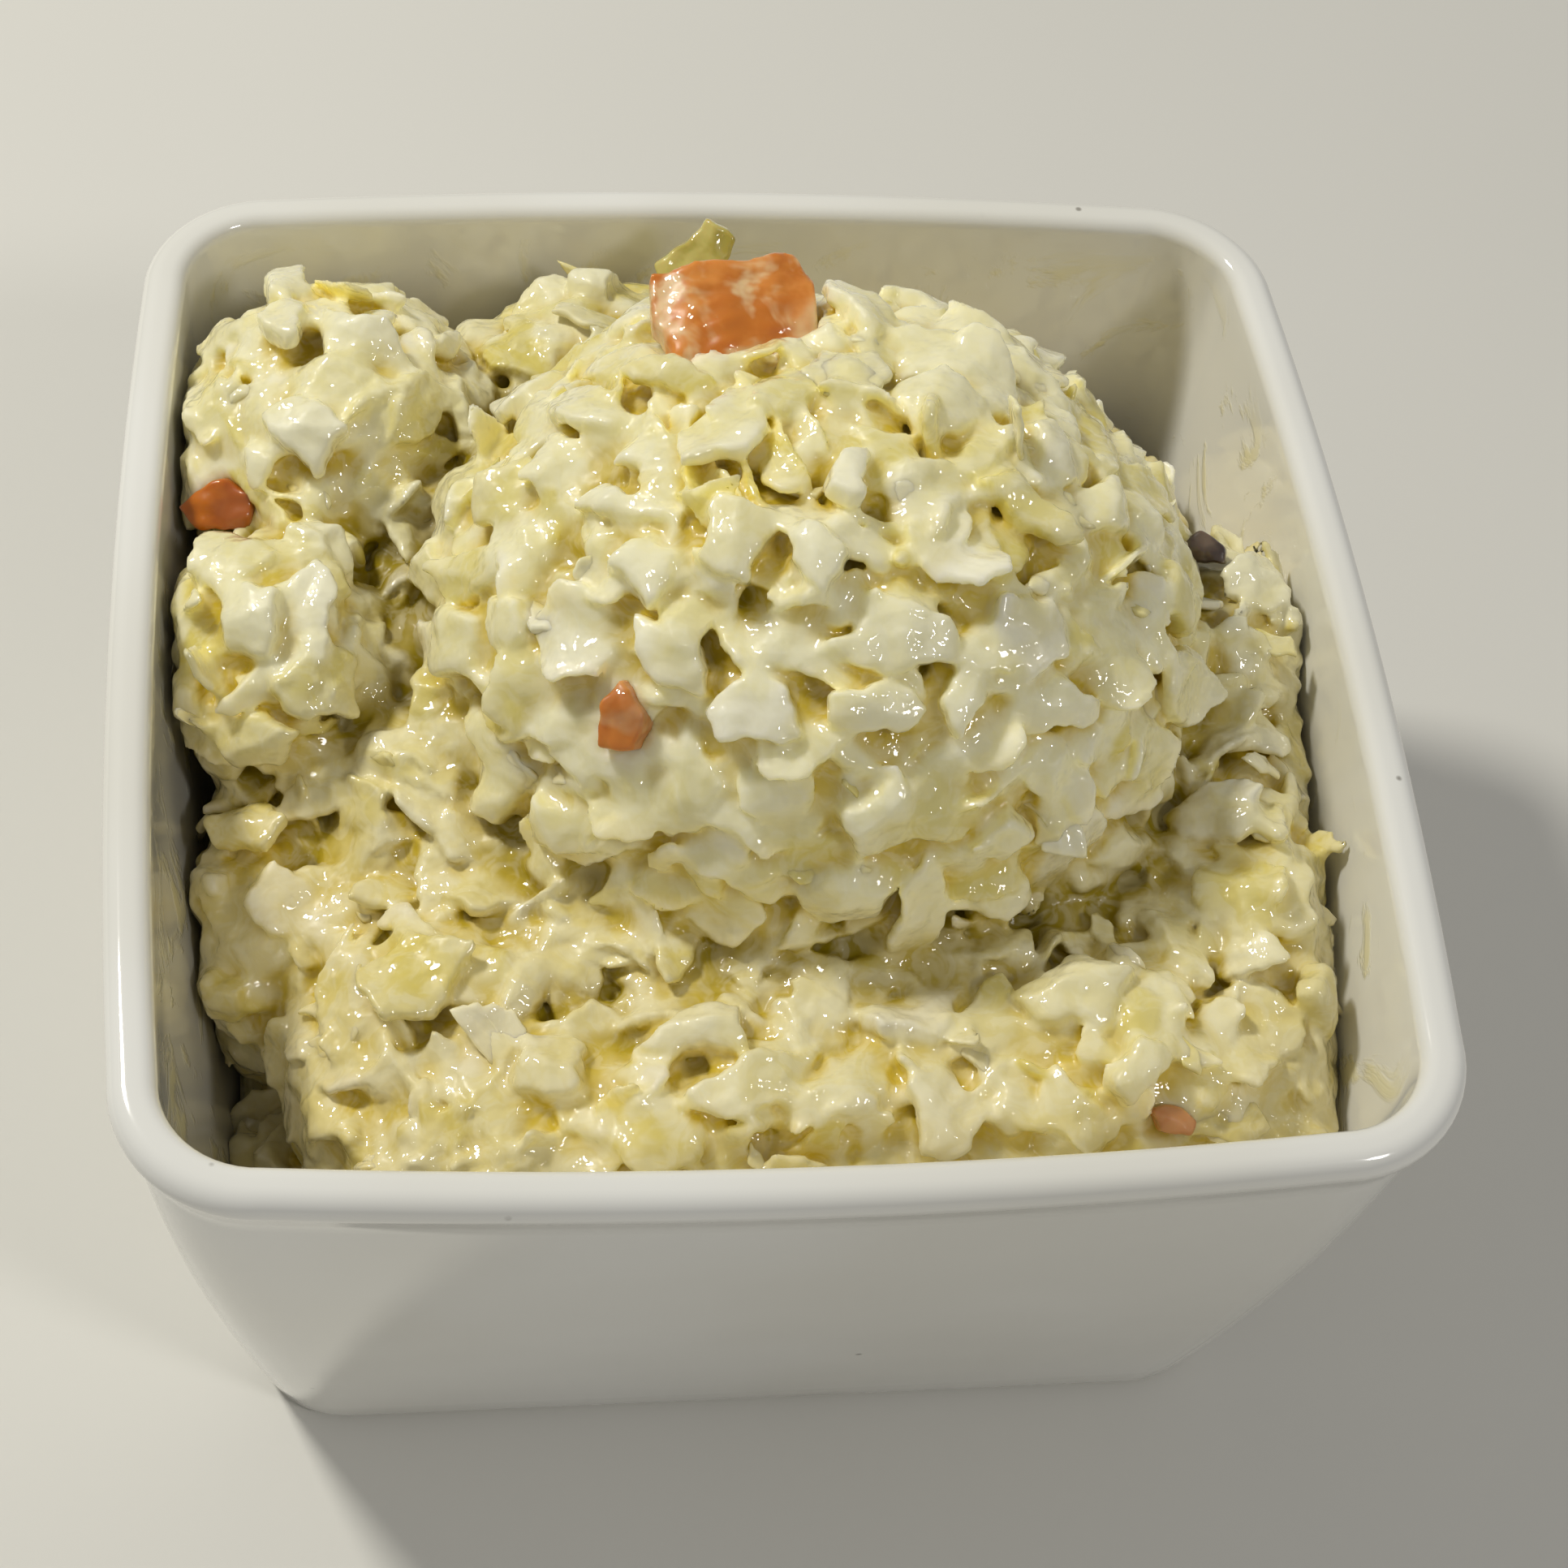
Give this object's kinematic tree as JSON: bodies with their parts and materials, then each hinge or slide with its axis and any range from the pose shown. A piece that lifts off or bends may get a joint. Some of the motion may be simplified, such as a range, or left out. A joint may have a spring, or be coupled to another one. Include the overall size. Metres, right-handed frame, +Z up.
{
  "type": "coleslaw in a square bowl",
  "caption": "Heaped creamy coleslaw of chopped cabbage with bits of carrot, served in a small deep square bowl of glazed white porcelain that stands on its flat underside",
  "frame": {"origin": "on the table under the middle of the bowl, which stands on z = 0", "axes": "+Z up; the bowl's sides are square to X and Y; the front of the heap is towards -Y and +X is to the right"},
  "size_m": [0.0932, 0.0932, 0.07],
  "materials": {
    "porcelain": "glossy white glaze, slightly warm, with dressing smears and tiny pits",
    "slaw": "food: chopped cabbage in wet pale yellow-cream dressing, slightly translucent",
    "carrot": "food: wet raw carrot with a film of dressing",
    "purple_leaf": "food: wet dark purple cabbage",
    "green_leaf": "food: wet yellow-green cabbage leaf"
  },
  "bodies": {
    "root": {"bowl": "porcelain", "coleslaw": "slaw", "carrot_back": "carrot", "carrot_left": "carrot", "carrot_middle": "carrot", "carrot_front": "carrot", "carrot_right": "carrot", "purple_cabbage": "purple_leaf", "green_leaf": "green_leaf"}
  },
  "joints": []
}
